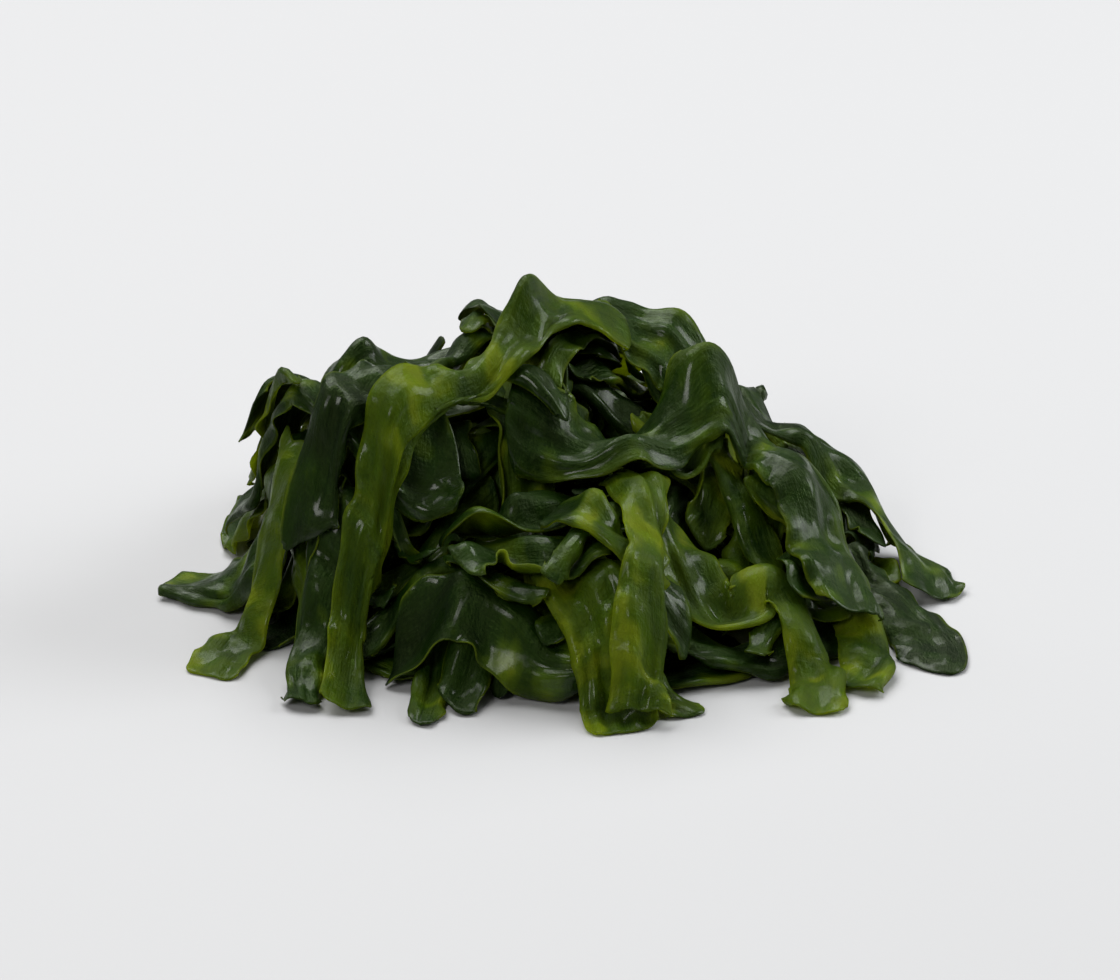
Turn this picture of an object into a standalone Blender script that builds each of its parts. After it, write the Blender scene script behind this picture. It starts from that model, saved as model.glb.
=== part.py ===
"""A heap of blanched wakame, one serving, lying on a flat surface.

Every blade is its own closed solid: a thin strip of seaweed with cut ends and waved margins, folded
along its length and laid on the blades that were put down before it. The heap stands on z = 0, +Z
up, with its origin at the bottom centre of its box. The front, -Y, is where the longest blades hang.
All sizes below are in millimetres, and the objects are made in metres.
"""

import math
import random

import bpy
import numpy as np

MM = 0.001

# The heap: half its width and depth, and the height that the blades are heaped to before the last
# ones go over it, less by a share at the front. Its highest point stands a little left of the middle
# and behind it. Blades that lie through the heap end within a radius of its middle.
HALF_WIDTH = 55.0
HALF_DEPTH = 53.5
HEAPED_HEIGHT = 37.0
FRONT_DIP = 0.35
PEAK_X = -3.0
PEAK_Y = 3.0
INNER_RADIUS = 46.0

# A blade, the least clearance between two that lie on each other, and the strips across a blade. A
# slanted cut straightens out over one part in CUT_REACH of the blade's length.
BLADE_THICKNESS = 0.7
BLADE_GAP = 0.3
COLUMNS = 4
CUT_REACH = 8.0

# The strips across a blade lean at these angles, in degrees, from its left margin to its right one.
FOLDS = {
    "flat": (0, 0, 0, 0),
    "soft": (12, 5, -5, -14),
    "arc": (60, 25, -25, -60),
    "tight": (85, 42, -42, -85),
    "ridge": (58, 52, -52, -58),
    "sway": (-50, 40, 45, -45),
    "lip": (10, -5, -30, -80),
    "left_lip": (80, 32, 6, -10),
    "cup": (-50, -20, 20, 50),
}
FOLD_CHOICES = ("arc", "sway", "ridge", "lip", "cup", "tight")
LOW_CHOICES = ("soft", "arc", "lip", "soft")

# The map of the heap's top: the side of a cell, and its reach from the centre. The reach isn't a
# round number, so that no corner of a blade falls on the line between two cells.
CELL = 0.6
MAP_REACH = 72.3171

# How a blade settles: the steps, the steepest slope that it hangs at, how far it may stretch across,
# how it leans to lie on a slope, and how its facets are then raised clear of what lies below. Each
# facet is tested at evenly spread points, with this many steps along a side.
SETTLE_STEPS = 200
STEEPEST = 2.6
STRETCH = 0.3
FITTINGS = 4
LEAN_SHARE = 0.8
MOST_LEAN = 60.0
MOST_FOLDED = 95.0
CLEARING_STEPS = 60
SAMPLES_PER_SIDE = 8
LEAST_UPRIGHT = 0.45

# The seed of the random draws, and the routes that are drawn for each blade, of which the one with the
# most room over it is taken.
SEED = 5
PLACES_TRIED = 14


class HeapTop:
    """Height of the heap so far on a square grid seen from above, in millimetres."""

    def __init__(self):
        self.count = int(2 * MAP_REACH / CELL) + 1
        self.height = np.full((self.count, self.count), -BLADE_GAP)
        self.spread = self.height.copy()

    def cells(self, x, y):
        last = self.count - 1
        i = np.clip(((x + MAP_REACH) / CELL).astype(int), 0, last)
        j = np.clip(((y + MAP_REACH) / CELL).astype(int), 0, last)
        return i, j

    def below(self, x, y):
        """Highest point of the heap within a cell of each place."""
        return self.spread[self.cells(x, y)]

    def add(self, x, y, z):
        np.maximum.at(self.height, self.cells(x, y), z)
        spread = self.height.copy()
        for step in (1, -1):
            for axis in (0, 1):
                spread = np.maximum(spread, np.roll(self.height, step, axis))
            spread = np.maximum(spread, np.roll(self.height, (step, step), (0, 1)))
            spread = np.maximum(spread, np.roll(self.height, (step, -step), (0, 1)))
        self.spread = spread


def along_keys(keys, where):
    """Smooth value at each place 0..1 of keys that stand evenly along the blade."""
    keys = np.atleast_1d(np.asarray(keys, float))
    if len(keys) == 1:
        return np.full_like(where, keys[0])
    place = np.clip(where, 0, 1) * (len(keys) - 1)
    left = np.minimum(place.astype(int), len(keys) - 2)
    share = place - left
    share = share * share * (3 - 2 * share)
    return keys[left] * (1 - share) + keys[left + 1] * share


def plan_curve(points, count=240):
    """Even points along a Catmull-Rom curve through plan points."""
    points = np.asarray(points, float)
    padded = np.vstack([2 * points[0] - points[1], points, 2 * points[-1] - points[-2]])
    stretch = []
    per = max(2, count // (len(points) - 1))
    share = np.linspace(0, 1, per, endpoint=False)[:, None]
    for a, b, c, d in zip(padded, padded[1:], padded[2:], padded[3:]):
        stretch.append(
            0.5 * (2 * b + (c - a) * share + (2 * a - 5 * b + 4 * c - d) * share**2
                   + (3 * b - a - 3 * c + d) * share**3)
        )
    curve = np.vstack([*stretch, points[-1:]])
    length = np.concatenate([[0], np.cumsum(np.linalg.norm(np.diff(curve, axis=0), axis=1))])
    even = np.linspace(0, length[-1], count)
    return np.stack([np.interp(even, length, curve[:, k]) for k in (0, 1)], axis=1)


def cross_section(angles, strip):
    """Sideways and upward offset of the points across the blade, whose strips lean at these angles."""
    step_side = strip * np.cos(angles)
    step_rise = strip * np.sin(angles)
    middle = COLUMNS // 2

    def from_middle(step):
        right = np.cumsum(step[:, middle:], axis=1)
        left = -np.cumsum(step[:, middle - 1::-1], axis=1)[:, ::-1]
        return np.hstack([left, np.zeros((len(step), 1)), right])

    return from_middle(step_side), from_middle(step_rise)


def blade_form(blade, where, lean):
    """x, y and rise of the blade's grid before it is laid: rows along it, columns across it."""
    curve = plan_curve(blade["path"])
    place = where * (len(curve) - 1)
    along = np.arange(len(curve))
    centre = np.stack([np.interp(place, along, curve[:, k]) for k in (0, 1)], axis=1)
    heading = np.gradient(curve, axis=0)
    heading = np.stack([np.interp(place, along, heading[:, k]) for k in (0, 1)], axis=1)
    heading /= np.linalg.norm(heading, axis=1)[:, None]
    across = np.stack([-heading[:, 1], heading[:, 0]], axis=1)

    wobble = blade["wobble"]
    turns = 2 * math.pi * where * blade["length"] / blade["wave"]
    strip = np.outer(along_keys(blade["taper"], where), np.full(COLUMNS, blade["width"] / COLUMNS))
    strip[:, 0] *= 1 + 0.3 * np.sin(0.61 * turns + wobble)
    strip[:, -1] *= 1 + 0.3 * np.sin(0.53 * turns + 2.1 * wobble)
    folds = np.stack([along_keys(keys, where) for keys in np.transpose(blade["folds"])], axis=1)
    roll = along_keys(blade["roll"], where) + lean
    angles = np.clip(folds + roll[:, None], -MOST_FOLDED, MOST_FOLDED)
    side, rise = cross_section(np.radians(angles), strip)
    share = np.linspace(-1, 1, COLUMNS + 1)[None, :]
    phase = np.where(share < 0, wobble, wobble + 2.4)
    rise = rise + blade["ruffle"] * np.abs(share) ** 1.5 * np.sin(turns[:, None] + phase)
    rise = rise + along_keys(blade["arch"], where)[:, None]
    near_end = np.clip(np.stack([1 - CUT_REACH * where, CUT_REACH * (where - 1) + 1]), 0, 1)
    slant = np.tan(np.radians(blade["cut"])) @ near_end
    forward = slant[:, None] * side
    x = centre[:, 0, None] + side * across[:, 0, None] + forward * heading[:, 0, None]
    y = centre[:, 1, None] + side * across[:, 1, None] + forward * heading[:, 1, None]
    return x, y, rise


def facets_of(rows):
    """Corner numbers of the triangles of a grid of rows, alike on both faces once it is thickened."""
    facets = []
    wide = COLUMNS + 1
    for i in range(rows - 1):
        for j in range(COLUMNS):
            a, b = i * wide + j, i * wide + j + 1
            c, d = a + wide, b + wide
            facets += [(a, c, d), (a, d, b)] if (i + j) % 2 else [(a, c, b), (b, c, d)]
    return np.array(facets)


def sample_shares():
    """Shares of a triangle's three corners at evenly spread points of it."""
    steps = range(SAMPLES_PER_SIDE + 1)
    return np.array(
        [(a, b, SAMPLES_PER_SIDE - a - b) for a in steps for b in steps if a + b <= SAMPLES_PER_SIDE]
    ) / SAMPLES_PER_SIDE


SHARES = sample_shares()


def spread_points(points, facets):
    """Points all over the facets, and how far the blade's faces stand above and below them."""
    corners = points[facets]
    samples = np.einsum("sk,fkc->fsc", SHARES, corners)
    normal = np.cross(corners[:, 1] - corners[:, 0], corners[:, 2] - corners[:, 0])
    upright = np.abs(normal[:, 2]) / np.maximum(np.linalg.norm(normal, axis=1), 1e-9)
    reach = BLADE_THICKNESS / 2 / np.maximum(upright, LEAST_UPRIGHT)
    return samples, reach[:, None]


def settled(x, y, rise, top, limp):
    """How far each point of the blade is lifted when it comes down on the heap and hangs from it."""
    need = top.below(x, y) + BLADE_GAP + BLADE_THICKNESS / 2 - rise
    along = np.hypot(np.diff(x, axis=0), np.diff(y, axis=0)) * STEEPEST + np.abs(np.diff(rise, axis=0))
    across = np.hypot(np.hypot(np.diff(x, axis=1), np.diff(y, axis=1)), np.diff(rise, axis=1)) * STRETCH
    lift = np.full_like(need, need.max())
    for _ in range(SETTLE_STEPS):
        eased = lift.copy()
        eased[1:-1] = 0.25 * lift[:-2] + 0.5 * lift[1:-1] + 0.25 * lift[2:]
        eased[0] = 0.5 * lift[0] + 0.5 * (2 * lift[1] - lift[2])
        eased[-1] = 0.5 * lift[-1] + 0.5 * (2 * lift[-2] - lift[-3])
        mean = eased.copy()
        mean[:, 1:-1] = (eased[:, :-2] + eased[:, 1:-1] + eased[:, 2:]) / 3
        mean[:, 0] = (eased[:, 0] + 2 * eased[:, 1] - eased[:, 2]) / 2
        mean[:, -1] = (eased[:, -1] + 2 * eased[:, -2] - eased[:, -3]) / 2
        eased = np.minimum(mean - limp, lift)
        for i in range(1, len(eased)):
            eased[i] = np.maximum(eased[i], eased[i - 1] - along[i - 1])
            eased[-1 - i] = np.maximum(eased[-1 - i], eased[-i] - along[-i])
        eased = np.maximum(eased, need)
        for j in range(COLUMNS):
            eased[:, j + 1] = np.maximum(eased[:, j + 1], eased[:, j] - across[:, j])
            eased[:, -2 - j] = np.maximum(eased[:, -2 - j], eased[:, -1 - j] - across[:, -1 - j])
        lift = eased
    return lift


def cleared(x, y, z, facets, top):
    """Raises the corners of every facet that would still touch what lies below it."""
    points = np.stack([x.ravel(), y.ravel(), z.ravel()], axis=1)
    for _ in range(CLEARING_STEPS):
        samples, reach = spread_points(points, facets)
        floor = top.below(samples[:, :, 0], samples[:, :, 1]) + BLADE_GAP + reach
        short = (floor - samples[:, :, 2]).max(axis=1)
        if short.max() <= 1e-9:
            break
        raised = np.zeros(len(points))
        np.maximum.at(raised, facets.ravel(), np.repeat(np.maximum(short, 0) * 1.01, 3))
        raised = raised.reshape(z.shape)
        near = raised.copy()
        near[1:] = np.maximum(near[1:], 0.6 * raised[:-1])
        near[:-1] = np.maximum(near[:-1], 0.6 * raised[1:])
        points[:, 2] += near.ravel()
    return points


def lay(blade, top):
    """Lays one blade on the heap, and returns its middle surface as points and facets."""
    rows = blade["rows"]
    where = np.linspace(0, 1, rows)
    lean = np.zeros(rows)
    for _ in range(FITTINGS):
        x, y, rise = blade_form(blade, where, lean)
        lift = settled(x, y, rise, top, blade["limp"])
        span = np.hypot(x[:, -1] - x[:, 0], y[:, -1] - y[:, 0])
        slope = (lift[:, -1] - lift[:, 0]) / np.maximum(span, blade["width"] / 2)
        lean = np.clip(lean + LEAN_SHARE * np.degrees(np.arctan(slope)), -MOST_LEAN, MOST_LEAN)
        lean[1:-1] = (lean[:-2] + 2 * lean[1:-1] + lean[2:]) / 4
        z = rise + lift
        middle = COLUMNS // 2
        line = np.stack([x[:, middle], y[:, middle], z[:, middle]], axis=1)
        length = np.concatenate([[0], np.cumsum(np.linalg.norm(np.diff(line, axis=0), axis=1))])
        even = np.linspace(0, length[-1], rows)
        lean = np.interp(even, length, lean)
        where = np.interp(even, length, where)
    x, y, rise = blade_form(blade, where, lean)
    z = rise + settled(x, y, rise, top, blade["limp"])
    facets = facets_of(rows)
    points = cleared(x, y, z, facets, top)
    samples, reach = spread_points(points, facets)
    top.add(samples[:, :, 0].ravel(), samples[:, :, 1].ravel(), (samples[:, :, 2] + reach).ravel())
    return points, facets


def make_blade(name, path, width, folds, **more):
    """One blade: its route in plan, the width of its strip, and the folds at points along it."""
    path = np.asarray(path, float)
    keys = [FOLDS[fold] for fold in folds]
    blade = {
        "name": name, "path": path, "width": width, "folds": keys if len(keys) > 1 else keys * 2,
        "length": float(np.linalg.norm(np.diff(path, axis=0), axis=1).sum()),
        "wave": 22.0, "wobble": 0.0, "ruffle": 1.0, "taper": (1, 1), "roll": (0,), "arch": (0,),
        "cut": (0, 0), "limp": 0.58, "rows": 15, "tone": "dark",
    }
    blade.update(more)
    return blade


def polar(radius, degrees):
    turn = math.radians(degrees)
    return np.array((radius * math.cos(turn), radius * math.sin(turn) * HALF_DEPTH / HALF_WIDTH))


def wanted_height(x, y):
    """The dome that the blades are heaped up to."""
    out = np.hypot((x - PEAK_X) / HALF_WIDTH, (y - PEAK_Y) / HALF_DEPTH)
    front = 1 - FRONT_DIP * np.clip(-y / HALF_DEPTH, 0, 1)
    return HEAPED_HEIGHT * front * np.maximum(1 - out**1.5, 0)


def room_over(path, top):
    """How far the heap under a path still stands below the dome, on average."""
    x, y = plan_curve(path, 40).T
    return float(np.mean(wanted_height(x, y) - top.below(x, y)))


def roomiest(make_path, rng, top):
    return max((make_path(rng) for _ in range(PLACES_TRIED)), key=lambda path: room_over(path, top))


def path_through(rng):
    """A chord through the heap."""
    turn = rng.uniform(0, 360)
    aside = rng.uniform(-30, 30)
    reach = math.sqrt(INNER_RADIUS**2 - aside**2) * rng.uniform(0.7, 0.95)
    middle = polar(aside, turn + 90)
    bend = polar(rng.uniform(-12, 12), turn + 90)
    return [polar(-reach, turn) + middle, bend + middle, polar(reach, turn) + middle]


def path_over(rng):
    """Down the flank with some sway, or round it."""
    turn = rng.uniform(0, 360)
    points = 6
    if rng.random() < 0.6:
        start, end = rng.uniform(-30, 16), rng.uniform(45, 54)
        sway, phase, swing = rng.uniform(3, 7), rng.uniform(0, 6.3), rng.uniform(-55, 55)
        shares = [i / (points - 1) for i in range(points)]
        return [
            polar(start + (end - start) * share, turn + swing * share**2)
            + polar(sway * math.sin(5.5 * share + phase), turn + 90)
            for share in shares
        ]
    radius = rng.uniform(16, 47)
    swing = min(math.degrees(rng.uniform(45, 75) / radius), 160)
    return [
        polar(radius + rng.uniform(-5, 5), turn + swing * i / (points - 1)) for i in range(points)
    ]


def floor_blades(rng):
    """The lowest blades: one flat in the middle, the rest round it on the surface."""
    yield make_blade("floor_blade_1", [(-28, -4), (0, 2), (28, -3)], 24, ["flat"], ruffle=0, rows=7)
    around = 9
    for k in range(around):
        turn = 360 / around * k + rng.uniform(-8, 8)
        radius = rng.uniform(34, 44)
        yield make_blade(
            f"floor_blade_{k + 2}",
            [polar(radius - 3, turn), polar(radius + 2, turn + 22), polar(radius, turn + 44)],
            rng.uniform(9, 13), ["soft", "arc", "cup"], wobble=rng.uniform(0, 6), ruffle=1.5, rows=9,
        )


def inner_blades(rng, top, count=7):
    """Wide crumpled blades that fill the heap."""
    for k in range(count):
        yield make_blade(
            f"inner_blade_{k + 1}", roomiest(path_through, rng, top), rng.uniform(16, 24),
            [rng.choice(FOLD_CHOICES), rng.choice(FOLD_CHOICES)],
            roll=(rng.uniform(-25, 25), rng.uniform(-25, 25)), ruffle=rng.uniform(1.6, 2.8),
            wave=rng.uniform(26, 36), wobble=rng.uniform(0, 6), limp=0.2, rows=13,
        )


def outer_blades(rng, top, count=25):
    """Narrow folded blades that hang over the heap on every side."""
    for k in range(count):
        yield make_blade(
            f"outer_blade_{k + 1}", roomiest(path_over, rng, top), rng.uniform(7.5, 12),
            [rng.choice(FOLD_CHOICES), rng.choice(FOLD_CHOICES), rng.choice(LOW_CHOICES)],
            roll=[rng.uniform(-most, most) for most in (45, 40, 25, 12)], ruffle=rng.uniform(0.4, 1.4),
            wave=rng.uniform(16, 26), wobble=rng.uniform(0, 6), rows=17,
            arch=(0, rng.uniform(0, 5), 0, rng.uniform(0, 2), 0),
            taper=(rng.choice((1, 0.75)), 1, 1, rng.choice((1, 0.5))),
            cut=(rng.uniform(-30, 30), rng.uniform(-30, 30)),
            tone=rng.choice(("dark", "dark", "green")),
        )


def front_blades():
    """The blades on top and in front, each where the heap shows it, lowest first."""
    yield make_blade("left_flank_blade", [(-33, -11), (-41, -13), (-48, -9), (-55, -1)], 13,
                     ["soft", "arc"], roll=(-10, 20), cut=(0, -25))
    yield make_blade("left_cut_blade", [(-36, -13), (-42, -19), (-46, -26), (-48, -33)], 9.5,
                     ["arc", "soft"], cut=(10, 6), ruffle=0.4, tone="green")
    yield make_blade("left_strip_blade", [(-26, -19), (-33, -27), (-36, -36), (-35, -44)], 9,
                     ["sway", "ridge"], wobble=2, cut=(-20, 25))
    yield make_blade("front_low_blade", [(-2, -26), (4, -35), (8, -43), (9, -51)], 12,
                     ["arc", "soft", "soft"], roll=(10, -8), cut=(0, -8), ruffle=0.7, tone="green")
    yield make_blade("front_curl_blade", [(-14, -34), (-8, -30), (0, -33), (7, -29)], 11,
                     ["cup", "sway", "arc"], arch=(0, 3, 0), roll=(30, -20, 20), rows=11)
    yield make_blade("front_knot_blade", [(-16, -22), (-7, -24), (2, -20), (9, -25)], 10,
                     ["tight", "sway", "cup"], arch=(0, 2, 0), roll=(-30, 25), rows=11)
    yield make_blade("right_low_blade", [(40, -8), (48, -15), (52, -23), (51, -31)], 12,
                     ["arc", "soft"], roll=(0, 15), cut=(0, 20))
    yield make_blade("right_loop_blade", [(26, -12), (35, -15), (43, -22), (44, -31), (40, -38)], 10,
                     ["ridge", "arc", "lip"], arch=(0, 3, 0), wobble=4, tone="green")
    yield make_blade("front_wave_blade",
                     [(13, -18), (18, -25), (24, -30), (29, -24), (33, -28), (36, -36), (35, -45)], 10,
                     ["ridge", "cup", "arc", "left_lip"], roll=(30, 60, 50, 20), arch=(0, 2, 0, 2, 0, 0),
                     ruffle=0.6, rows=19, tone="green")
    yield make_blade("front_hanging_blade", [(9, -12), (12, -21), (14, -32), (13, -42), (12, -49)], 11,
                     ["arc", "ridge", "left_lip"], arch=(0, 3, 0, 0), wobble=1, ruffle=0.6, tone="green")
    yield make_blade("left_dark_blade", [(-13, -19), (-24, -18), (-34, -11), (-41, -2), (-43, 6)], 14,
                     ["soft", "lip", "soft"], cut=(-15, 10), ruffle=0.8)
    yield make_blade("right_back_blade", [(24, 8), (36, 12), (46, 9), (53, 0), (54, -9)], 11,
                     ["arc", "lip", "soft"], cut=(20, -20))
    yield make_blade("left_shoulder_blade", [(-6, 15), (-18, 14), (-29, 8), (-37, 0), (-44, -4)], 10,
                     ["arc", "ridge", "soft"], arch=(0, 2, 0, 0), wobble=3)
    yield make_blade("left_grey_blade", [(-10, 8), (-16, -1), (-21, -9), (-28, -17), (-34, -24)], 10,
                     ["ridge", "arc", "lip"], arch=(0, 2, 0, 0), cut=(15, -25), ruffle=0.5)
    yield make_blade("top_back_blade", [(-12, 6), (-2, 11), (9, 12), (18, 9), (25, 3)], 16,
                     ["soft", "lip", "arc"], roll=(-20, -50, -20), arch=(0, 3, 2, 0), wobble=2)
    yield make_blade("wide_top_blade",
                     [(-7, -12), (4, -14), (16, -10), (26, -6), (34, -9), (39, -17), (42, -27)], 14,
                     ["soft", "arc", "soft", "arc"], roll=(0, -15, -15, 10), ruffle=1.4, wobble=5,
                     limp=0.5, rows=19)
    yield make_blade("long_front_blade",
                     [(10, 8), (2, 5), (-3, -3), (-11, -14), (-21, -22), (-27, -32), (-28, -45)], 11,
                     ["soft", "arc", "ridge", "arc", "left_lip"], roll=(20, 10, 0, -10, -20, 0),
                     arch=(0, 0, 0, 0, 2, 0, 0), ruffle=0.7, wobble=0.5, rows=21, tone="green")


def heap():
    """Every blade of the heap with its points and facets, in the order that they are laid."""
    rng = random.Random(SEED)
    top = HeapTop()
    laid = []
    for group in (floor_blades(rng), inner_blades(rng, top), outer_blades(rng, top), front_blades()):
        for blade in group:
            laid.append((blade, *lay(blade, top)))
    corners = np.vstack([points for _, points, _ in laid])
    shift = -(corners.min(axis=0) + corners.max(axis=0)) / 2
    shift[2] = 0
    return [(blade, points + shift, facets) for blade, points, facets in laid]


# Linear colours of the two kinds of blade, from the light strips and the dark ones.
TONES = {"dark": (0.016, 0.035, 0.006), "green": (0.05, 0.085, 0.012)}


def wet_material(tone):
    material = bpy.data.materials.new(f"wakame_{tone}")
    material.use_nodes = True
    shader = material.node_tree.nodes["Principled BSDF"]
    shader.inputs["Base Color"].default_value = (*TONES[tone], 1)
    shader.inputs["Roughness"].default_value = 0.28
    return material


def blade_object(blade, points, facets, materials):
    """The blade's middle surface, thickened evenly to both sides."""
    mesh = bpy.data.meshes.new(blade["name"])
    mesh.from_pydata((points * MM).tolist(), [], facets.tolist())
    mesh.shade_smooth()
    mesh.materials.append(materials[blade["tone"]])
    obj = bpy.data.objects.new(blade["name"], mesh)
    bpy.context.scene.collection.objects.link(obj)
    thicken = obj.modifiers.new("thickness", "SOLIDIFY")
    thicken.thickness = BLADE_THICKNESS * MM
    thicken.offset = 0
    return obj


def main():
    for obj in list(bpy.data.objects):
        bpy.data.objects.remove(obj)
    materials = {tone: wet_material(tone) for tone in TONES}
    for blade, points, facets in heap():
        blade_object(blade, points, facets, materials)


main()
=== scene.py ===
# A heap of blanched wakame, wet from the pan. The blades are laid as the solids were laid, and then
# each is given its fine folds, frilled margins and cut ends. Lengths are in millimetres up to the
# point where a mesh is made.
import math
import random

import bpy
import numpy as np
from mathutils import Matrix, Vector


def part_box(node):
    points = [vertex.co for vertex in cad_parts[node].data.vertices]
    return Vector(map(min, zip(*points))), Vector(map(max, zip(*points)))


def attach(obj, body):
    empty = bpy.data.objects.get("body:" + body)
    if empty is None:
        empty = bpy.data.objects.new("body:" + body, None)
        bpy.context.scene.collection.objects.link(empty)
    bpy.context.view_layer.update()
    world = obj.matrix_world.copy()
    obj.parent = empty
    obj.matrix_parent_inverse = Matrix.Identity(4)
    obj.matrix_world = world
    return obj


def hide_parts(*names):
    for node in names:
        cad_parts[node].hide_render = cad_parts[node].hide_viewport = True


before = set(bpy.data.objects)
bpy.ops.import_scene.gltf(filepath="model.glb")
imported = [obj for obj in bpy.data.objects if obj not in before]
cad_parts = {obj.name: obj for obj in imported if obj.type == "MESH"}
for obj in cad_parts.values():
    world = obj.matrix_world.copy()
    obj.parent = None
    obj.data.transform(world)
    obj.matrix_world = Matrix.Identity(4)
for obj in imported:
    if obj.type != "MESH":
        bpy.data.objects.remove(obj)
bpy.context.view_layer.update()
mm = 0.001

heap = {
    "halfWidth": 55.0,
    "halfDepth": 53.5,
    "heapedHeight": 37.0,
    "frontDip": 0.35,
    "peakX": -3.0,
    "peakY": 3.0,
    "innerRadius": 46.0,
    "seed": 5,
    "placesTried": 14,
    "nodeThickness": 0.7,
    "gap": 0.3,
}

# Lean of the four strips across a blade, in degrees, from its left margin to its right one
foldKinds = {
    "flat": (0, 0, 0, 0),
    "soft": (12, 5, -5, -14),
    "arc": (60, 25, -25, -60),
    "tight": (85, 42, -42, -85),
    "ridge": (58, 52, -52, -58),
    "sway": (-50, 40, 45, -45),
    "lip": (10, -5, -30, -80),
    "leftLip": (80, 32, 6, -10),
    "cup": (-50, -20, 20, 50),
}
foldChoices = ("arc", "sway", "ridge", "lip", "cup", "tight")
lowChoices = ("soft", "arc", "lip", "soft")
columns = 4

laying = {
    "cell": 0.6,
    "mapReach": 72.3171,
    "steepest": 2.6,
    "stretch": 0.3,
    "leanShare": 0.8,
    "mostLean": 60.0,
    "mostFolded": 95.0,
    "cutReach": 8.0,
    "clearingSteps": 60,
    "samplesPerSide": 8,
    "leastUpright": 0.45,
}


class HeapTop:
    # Height of the heap so far on a square grid seen from above
    def __init__(self, cell, reach, lowest):
        self.cell = cell
        self.reach = reach
        self.count = int(2 * reach / cell) + 1
        self.height = np.full((self.count, self.count), lowest)
        self.spread = self.height.copy()

    def cells(self, x, y):
        last = self.count - 1
        i = np.clip(((x + self.reach) / self.cell).astype(int), 0, last)
        j = np.clip(((y + self.reach) / self.cell).astype(int), 0, last)
        return i, j

    def below(self, x, y):
        return self.spread[self.cells(x, y)]

    def add(self, x, y, z):
        np.maximum.at(self.height, self.cells(x, y), z)
        spread = self.height.copy()
        for step in (1, -1):
            for axis in (0, 1):
                spread = np.maximum(spread, np.roll(self.height, step, axis))
            spread = np.maximum(spread, np.roll(self.height, (step, step), (0, 1)))
            spread = np.maximum(spread, np.roll(self.height, (step, -step), (0, 1)))
        self.spread = spread


def alongKeys(keys, where):
    keys = np.atleast_1d(np.asarray(keys, float))
    if len(keys) == 1:
        return np.full_like(where, keys[0])
    place = np.clip(where, 0, 1) * (len(keys) - 1)
    left = np.minimum(place.astype(int), len(keys) - 2)
    share = place - left
    share = share * share * (3 - 2 * share)
    return keys[left] * (1 - share) + keys[left + 1] * share


def planCurve(points, count=240):
    points = np.asarray(points, float)
    padded = np.vstack([2 * points[0] - points[1], points, 2 * points[-1] - points[-2]])
    stretch = []
    per = max(2, count // (len(points) - 1))
    share = np.linspace(0, 1, per, endpoint=False)[:, None]
    for a, b, c, d in zip(padded, padded[1:], padded[2:], padded[3:]):
        stretch.append(
            0.5 * (2 * b + (c - a) * share + (2 * a - 5 * b + 4 * c - d) * share**2
                   + (3 * b - a - 3 * c + d) * share**3)
        )
    curve = np.vstack([*stretch, points[-1:]])
    length = np.concatenate([[0], np.cumsum(np.linalg.norm(np.diff(curve, axis=0), axis=1))])
    even = np.linspace(0, length[-1], count)
    return np.stack([np.interp(even, length, curve[:, k]) for k in (0, 1)], axis=1)


def crossSection(angles, strip):
    stepSide = strip * np.cos(angles)
    stepRise = strip * np.sin(angles)
    middle = columns // 2

    def fromMiddle(step):
        right = np.cumsum(step[:, middle:], axis=1)
        left = -np.cumsum(step[:, middle - 1::-1], axis=1)[:, ::-1]
        return np.hstack([left, np.zeros((len(step), 1)), right])

    return fromMiddle(stepSide), fromMiddle(stepRise)


def bladeForm(blade, where, lean):
    # Plan place and rise of the blade's grid before it is laid: rows along it, columns across it
    curve = planCurve(blade["path"])
    place = where * (len(curve) - 1)
    along = np.arange(len(curve))
    centre = np.stack([np.interp(place, along, curve[:, k]) for k in (0, 1)], axis=1)
    heading = np.gradient(curve, axis=0)
    heading = np.stack([np.interp(place, along, heading[:, k]) for k in (0, 1)], axis=1)
    heading /= np.linalg.norm(heading, axis=1)[:, None]
    across = np.stack([-heading[:, 1], heading[:, 0]], axis=1)

    wobble = blade["wobble"]
    turns = 2 * math.pi * where * blade["length"] / blade["wave"]
    strip = np.outer(alongKeys(blade["taper"], where), np.full(columns, blade["width"] / columns))
    strip[:, 0] *= 1 + 0.3 * np.sin(0.61 * turns + wobble)
    strip[:, -1] *= 1 + 0.3 * np.sin(0.53 * turns + 2.1 * wobble)
    folds = np.stack([alongKeys(keys, where) for keys in np.transpose(blade["folds"])], axis=1)
    roll = alongKeys(blade["roll"], where) + lean
    angles = np.clip(folds + roll[:, None], -laying["mostFolded"], laying["mostFolded"])
    side, rise = crossSection(np.radians(angles), strip)
    share = np.linspace(-1, 1, columns + 1)[None, :]
    phase = np.where(share < 0, wobble, wobble + 2.4)
    rise = rise + blade["ruffle"] * np.abs(share) ** 1.5 * np.sin(turns[:, None] + phase)
    rise = rise + alongKeys(blade["arch"], where)[:, None]
    reach = laying["cutReach"]
    nearEnd = np.clip(np.stack([1 - reach * where, reach * (where - 1) + 1]), 0, 1)
    slant = np.tan(np.radians(blade["cut"])) @ nearEnd
    forward = slant[:, None] * side
    x = centre[:, 0, None] + side * across[:, 0, None] + forward * heading[:, 0, None]
    y = centre[:, 1, None] + side * across[:, 1, None] + forward * heading[:, 1, None]
    return x, y, rise


def facetsOf(rows):
    facets = []
    wide = columns + 1
    for i in range(rows - 1):
        for j in range(columns):
            a, b = i * wide + j, i * wide + j + 1
            c, d = a + wide, b + wide
            facets += [(a, c, d), (a, d, b)] if (i + j) % 2 else [(a, c, b), (b, c, d)]
    return np.array(facets)


perSide = laying["samplesPerSide"]
sampleSteps = range(perSide + 1)
sampleShares = np.array(
    [(a, b, perSide - a - b) for a in sampleSteps for b in sampleSteps if a + b <= perSide]
) / perSide


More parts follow.
